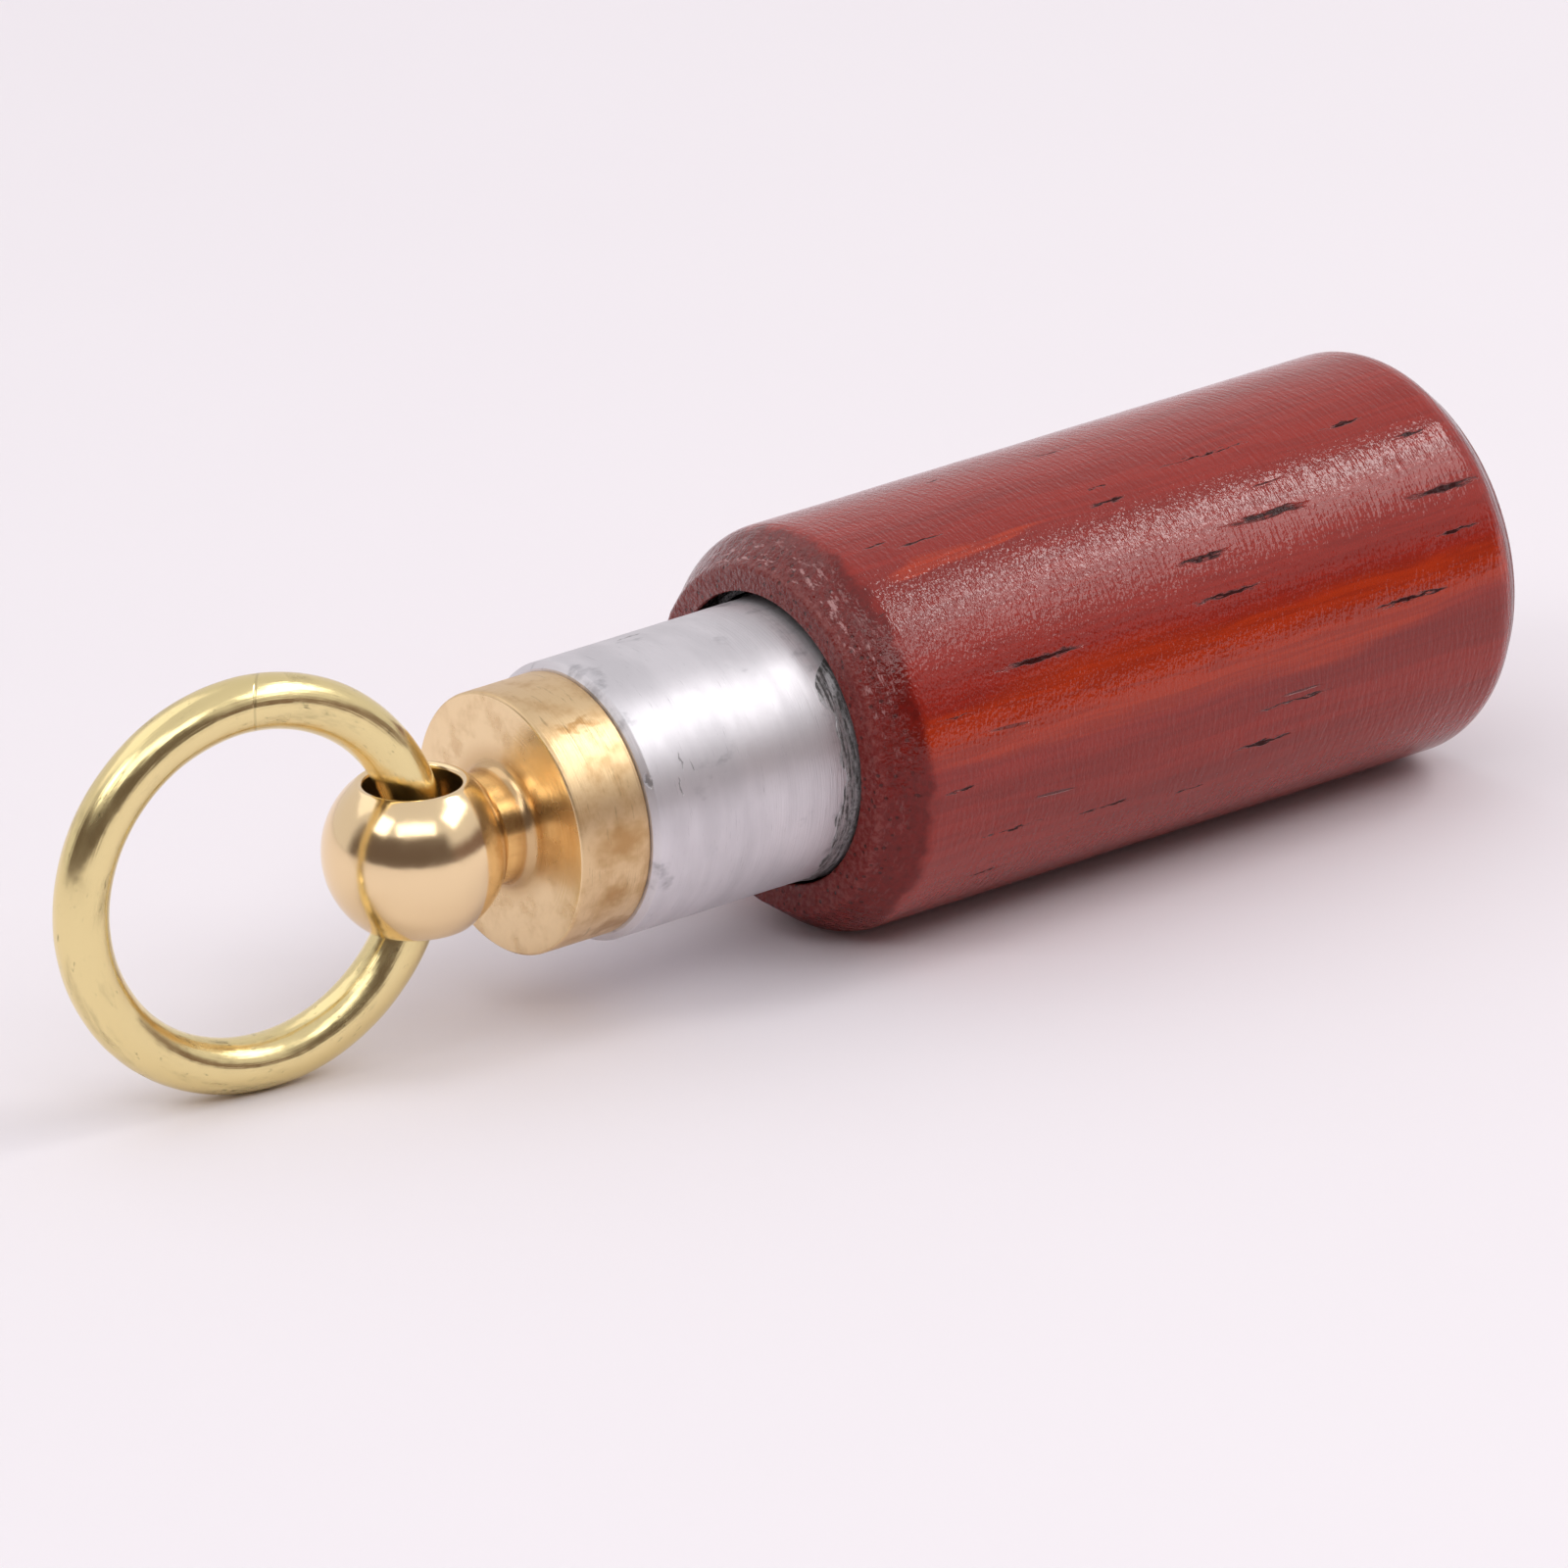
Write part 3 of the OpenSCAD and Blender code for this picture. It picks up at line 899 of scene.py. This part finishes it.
class BIRDCALL_OT_turn_barrel(bpy.types.Operator):
    """Turn the wooden barrel with its blind bore and its two sloping edges"""

    bl_idname = "birdcall.turn_barrel"
    bl_label = "Turn the barrel"

    def execute(self, context):
        s = context.scene.bird_call_barrel
        bore_r = BARREL_R - s.wall
        mouth_r = bore_r + s.mouth_growth
        front_rim = (0, BARREL_R - s.front_drop)
        front_shoulder = (s.front_slope, BARREL_R)
        rear_shoulder = (BARREL_L - s.rear_slope, BARREL_R)
        rear_rim = (BARREL_L, BARREL_R - s.rear_drop)
        rear_middle = (BARREL_L, 0)
        mouth = rounded((s.mouth_depth, mouth_r), (0, mouth_r), front_rim, MOUTH_EDGE, 4)
        barrel = turned_on_axis("hardwood_barrel", outline(
            (None, [(BORE_DEPTH, 0), (BORE_DEPTH, bore_r)]),
            (6 * MM, [(s.mouth_depth + 0.05 * MM, bore_r)]),
            (None, [(s.mouth_depth, mouth_r)]),
            (0.3 * MM, mouth),
            (0.13 * MM, rounded(mouth[-1], front_rim, front_shoulder, s.rim, 5)),
            (0.2 * MM, rounded(front_rim, front_shoulder, rear_shoulder, s.shoulder, 8)),
            (s.station, rounded(front_shoulder, rear_shoulder, rear_rim, s.shoulder, 8)),
            (0.25 * MM, rounded(rear_shoulder, rear_rim, rear_middle, s.rim, 5)),
            (0.8 * MM, [rear_middle]),
        ), s.around)

        # Use has worn the mouth of the bore upwards
        mouth_end = FACE_X + s.mouth_depth + 0.02 * MM
        pick(barrel, lambda co: co.x < mouth_end and off_axis(co) < mouth_r + 0.1 * MM)
        bpy.ops.transform.translate(value=(0, 0, s.mouth_lift))
        bpy.ops.object.mode_set(mode="OBJECT")

        # The outside wavers a little, and the fibres are torn where the front is cut
        roughen(barrel, "waver", 5 * MM, s.waver,
                lambda co: fade(off_axis(co), mouth_r + 0.3 * MM, BARREL_R - 0.6 * MM))
        roughen(barrel, "torn_grain", 0.55 * MM, s.torn,
                zone(1.8 * MM, 0.6 * MM, mouth_r + 0.2 * MM, mouth_r + 0.6 * MM))
        smooth(barrel, 40)
        wood = new_material("stained_hardwood_gloss_lacquer", lacquered_hardwood, s)
        stand_for(barrel, "barrel", ["barrel"], wood)
        return {"FINISHED"}


class BIRDCALL_OT_turn_plug(bpy.types.Operator):
    """Turn the aluminium plug with its bevels and the socket for the head"""

    bl_idname = "birdcall.turn_plug"
    bl_label = "Turn the plug"

    def execute(self, context):
        s = context.scene.bird_call_plug
        start = PLUG_LOW.x - FACE_X
        end = PLUG_HIGH.x - FACE_X
        socket_end = start + SPIGOT_L + s.socket_room
        socket_edge = 0.1 * MM
        face_edge = (start, PLUG_R - s.front_bevel)
        side_edge = (start + s.front_bevel, PLUG_R)
        by_barrel = (0, PLUG_R)
        plug = turned_on_axis("aluminium_plug", outline(
            (None, [
                (socket_end, 0), (socket_end, s.socket_r),
                (start + socket_edge, s.socket_r), (start, s.socket_r + socket_edge),
            ]),
            (0.5 * MM, rounded((start, s.socket_r), face_edge, side_edge, 0.05 * MM, 3)),
            (0.5 * MM, rounded(face_edge, side_edge, by_barrel, 0.12 * MM, 4)),
            (0.3 * MM, [by_barrel]),
            (3 * MM, [(end - s.inner_bevel, PLUG_R)]),
            (None, [(end, PLUG_R - s.inner_bevel), (end, 0)]),
        ), s.around)

        # Knocks have left the shown length and its front edge slightly uneven
        roughen(plug, "knocks", 1.6 * MM, s.knocks,
                zone(-1.3 * MM, -2 * MM, PLUG_R - 0.8 * MM, PLUG_R - 0.3 * MM))
        smooth(plug, 30)
        metal = new_material("turned_aluminium_satin", turned_aluminium, s)
        stand_for(plug, "plug", ["plug"], metal)
        return {"FINISHED"}


class BIRDCALL_OT_smear_rosin(bpy.types.Operator):
    """Shape the rosin film, whose front edge is smeared out unevenly on the plug"""

    bl_idname = "birdcall.smear_rosin"
    bl_label = "Smear the rosin"

    def execute(self, context):
        s = context.scene.bird_call_plug
        shown = FACE_X - FILM_LOW.x
        inside = FILM_HIGH.x - FACE_X
        inner_r = PLUG_R + 0.01 * MM
        lip = [
            (-shown + 0.02 * MM, inner_r + 0.012 * MM), (-shown * 0.7, inner_r + 0.03 * MM),
            (-shown * 0.35, inner_r + 0.06 * MM), (0, FILM_R),
        ]
        film = turned_on_axis("rosin_smear", outline(
            (None, [(inside, inner_r)]),
            (4 * MM, [(s.film_bare, inner_r)]),
            (0.4 * MM, [(-shown, inner_r)]),
            (0.12 * MM, lip),
            (0.2 * MM, [(s.film_bare, FILM_R)]),
            (4 * MM, [(inside, FILM_R)]),
            (None, [(inside, inner_r)]),
        ), s.around)

        # The film starts deeper near the top, where the mouth is worn away from the plug
        def retreat(co):
            turn = math.atan2(co.z - AXIS_Z, -co.y)
            top = fade(math.cos(turn - BARE_TURN), 0.55, 0.95)
            waves = [share * math.sin(number * turn + phase) for number, phase, share in RAGGED_WAVES]
            ragged = sum(waves, RAGGED_MEAN)
            return min(0.95, ragged + 0.85 * top) * fade(co.x, FACE_X + s.film_bare, FILM_LOW.x)

        displace(film, "smear", retreat, s.film_bare + shown, 0.0, way="X")
        roughen(film, "crumbs", 0.3 * MM, 0.015 * MM,
                zone(0.2 * MM, 0, inner_r + 0.02 * MM, inner_r + 0.04 * MM))
        smooth(film, 40)
        rosin = new_material("rosin_film_metal_dust", dirty_rosin, s)
        stand_for(film, "rosin", ["rosin_film"], rosin)
        return {"FINISHED"}


class BIRDCALL_OT_pack_rosin(bpy.types.Operator):
    """Give the rosin packed at the bottom of the bore its finish"""

    bl_idname = "birdcall.pack_rosin"
    bl_label = "Finish the packed rosin"

    def execute(self, context):
        powder = new_material("rosin_powder_packed", packed_rosin, context.scene.bird_call_plug)
        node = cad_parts["rosin_charge"]
        node.data.materials.clear()
        node.data.materials.append(powder)
        return {"FINISHED"}


class BIRDCALL_OT_turn_head(bpy.types.Operator):
    """Turn the brass head: spigot, collar, neck, and the ball with its hole"""

    bl_idname = "birdcall.turn_head"
    bl_label = "Turn the head"

    def execute(self, context):
        s = context.scene.bird_call_head
        back = -PLUG_SHOWN
        front = back - s.collar
        ball_x = front - s.neck - s.ball_r
        spigot_end = back + SPIGOT_L
        back_rim = (back, COLLAR_R)
        front_rim = (front, COLLAR_R)
        root = (front, s.neck_r)
        neck_end = (ball_x + (s.ball_r + s.eye_r) * NECK_SHARE, s.neck_r)
        head = turned_on_axis("brass_head", outline(
            (None, [
                (spigot_end, 0), (spigot_end, s.spigot_r - s.collar_bevel),
                (spigot_end - s.collar_bevel, s.spigot_r), (back, s.spigot_r),
            ]),
            (1 * MM, [(back, COLLAR_R - s.collar_bevel)]),
            (None, rounded((back, 0), back_rim, front_rim, s.collar_bevel, 4)),
            (0.35 * MM, rounded(back_rim, front_rim, root, s.collar_bevel, 4)),
            (0.3 * MM, rounded(front_rim, root, neck_end, s.fillet, 8)),
            (None, [neck_end, (neck_end[0], 0)]),
        ), s.around)

        # The ball is turned about its own hole, so the hole's edge is broken evenly
        edge_r = s.eye_r + s.eye_edge
        edge_h = math.sqrt((s.ball_r - s.eye_edge) ** 2 - edge_r ** 2)
        meet = math.atan2(edge_h, edge_r)
        brim = [
            (edge_h + s.eye_edge * math.sin(a), s.eye_r + s.eye_edge * (1 + math.cos(a)))
            for a in [math.pi + (meet - math.pi) * i / BRIM_STEPS for i in range(BRIM_STEPS + 1)]
        ]
        arc = [
            (s.ball_r * math.sin(a), s.ball_r * math.cos(a))
            for a in [meet - 2 * meet * i / BALL_STEPS for i in range(1, BALL_STEPS)]
        ]
        low_brim = [(-h, r) for h, r in reversed(brim)]
        points = outline((None, brim + arc + low_brim), (0.6 * MM, [brim[0]]))
        ball = turned("ball", points, s.around, (FACE_X + ball_x, 0, AXIS_Z), (0, 0, 1), (-1, 0, 0))

        # The neck runs into the ball
        work_on(head)
        join = head.modifiers.new("ball", "BOOLEAN")
        join.operation = "UNION"
        join.solver = "EXACT"
        join.object = ball
        bpy.ops.object.modifier_apply(modifier="ball")
        bpy.data.objects.remove(ball)

        # The cut leaves slivers where the two forms meet
        bpy.ops.object.mode_set(mode="EDIT")
        bpy.ops.mesh.select_all(action="SELECT")
        bpy.ops.mesh.remove_doubles(threshold=SLIVER)
        bpy.ops.object.mode_set(mode="OBJECT")
        smooth(head, 30)
        brass = new_material("turned_brass_polished", turned_brass, s)
        stand_for(head, "plug", ["head"], brass)
        return {"FINISHED"}


class BIRDCALL_OT_bend_ring(bpy.types.Operator):
    """Bend the closed ring of brass wire and thread it through the ball"""

    bl_idname = "birdcall.bend_ring"
    bl_label = "Bend the ring"

    def execute(self, context):
        s = context.scene.bird_call_ring
        ball_r = context.scene.bird_call_head.ball_r
        clear_selection()
        bpy.ops.mesh.primitive_torus_add(
            major_radius=RING_R - s.wire_r, minor_radius=s.wire_r,
            major_segments=RING_STEPS, minor_segments=WIRE_STEPS,
            rotation=(math.pi / 2, math.pi / 2 + s.seam_at, 0), generate_uvs=True,
        )
        ring = take("wire_ring")
        bpy.ops.object.mode_set(mode="EDIT")
        bpy.ops.mesh.select_all(action="SELECT")
        bpy.ops.transform.rotate(value=s.swing, orient_axis="Z", center_override=(0, 0, 0))
        bpy.ops.transform.translate(value=RING_CENTRE)
        bpy.ops.object.mode_set(mode="OBJECT")

        # Bending and years of use leave the wire slightly uneven outside the ball
        eye = Vector((HEAD_LOW.x + ball_r, 0, AXIS_Z))
        roughen(ring, "bending", 2.6 * MM, s.waver,
                lambda co: fade((co - eye).length, ball_r, ball_r + 2 * MM) * fade(co.z, 0.2 * MM, 2 * MM))
        smooth(ring, 60)
        brass = new_material("drawn_brass_wire_satin", drawn_brass_wire, s)
        stand_for(ring, "ring", ["ring"], brass)
        return {"FINISHED"}


class BIRDCALL_OT_set_stage(bpy.types.Operator):
    """Lay the floor, and set the light and the camera"""

    bl_idname = "birdcall.set_stage"
    bl_label = "Set the stage"

    def execute(self, context):
        scene = context.scene
        s = scene.bird_call_stage
        clear_selection()
        bpy.ops.mesh.primitive_plane_add(size=FLOOR_SIZE, location=(0, 0, 0))
        floor = take("floor")
        floor.data.materials.append(new_material("matt_card_floor", matt_floor, s))
        hang_soft_boxes(scene, s)
        scene.world = bpy.data.worlds.new("studio")
        fill_nodes(scene.world, "OutputWorld", studio_room, s)
        aim_camera(scene, s)
        scene.view_settings.view_transform = "Standard"
        return {"FINISHED"}


class BIRDCALL_PT_sidebar(bpy.types.Panel):
    """Lists the steps that build the call, and the sizes and colours each one uses"""

    bl_idname = "BIRDCALL_PT_sidebar"
    bl_label = "Twist bird call"
    bl_space_type = "VIEW_3D"
    bl_region_type = "UI"
    bl_category = "Bird call"

    def draw(self, context):
        for settings_name, _, operators in STEPS:
            settings = getattr(context.scene, settings_name)
            box = self.layout.box()
            for operator in operators:
                box.operator(operator.bl_idname)
            for key in type(settings).__annotations__:
                box.prop(settings, key)


STEPS = (
    ("bird_call_barrel", BarrelSettings, (BIRDCALL_OT_turn_barrel,)),
    ("bird_call_plug", PlugSettings, (
        BIRDCALL_OT_turn_plug, BIRDCALL_OT_smear_rosin, BIRDCALL_OT_pack_rosin,
    )),
    ("bird_call_head", HeadSettings, (BIRDCALL_OT_turn_head,)),
    ("bird_call_ring", RingSettings, (BIRDCALL_OT_bend_ring,)),
    ("bird_call_stage", StageSettings, (BIRDCALL_OT_set_stage,)),
)


def register():
    for name, group, operators in STEPS:
        bpy.utils.register_class(group)
        setattr(bpy.types.Scene, name, PointerProperty(type=group))
        for operator in operators:
            bpy.utils.register_class(operator)
    bpy.utils.register_class(BIRDCALL_PT_sidebar)


def unregister():
    bpy.utils.unregister_class(BIRDCALL_PT_sidebar)
    for name, group, operators in reversed(STEPS):
        for operator in reversed(operators):
            bpy.utils.unregister_class(operator)
        delattr(bpy.types.Scene, name)
        bpy.utils.unregister_class(group)


def main():
    register()
    bpy.ops.birdcall.turn_barrel()
    bpy.ops.birdcall.turn_plug()
    bpy.ops.birdcall.smear_rosin()
    bpy.ops.birdcall.pack_rosin()
    bpy.ops.birdcall.turn_head()
    bpy.ops.birdcall.bend_ring()
    bpy.ops.birdcall.set_stage()


if __name__ == "__main__":
    main()
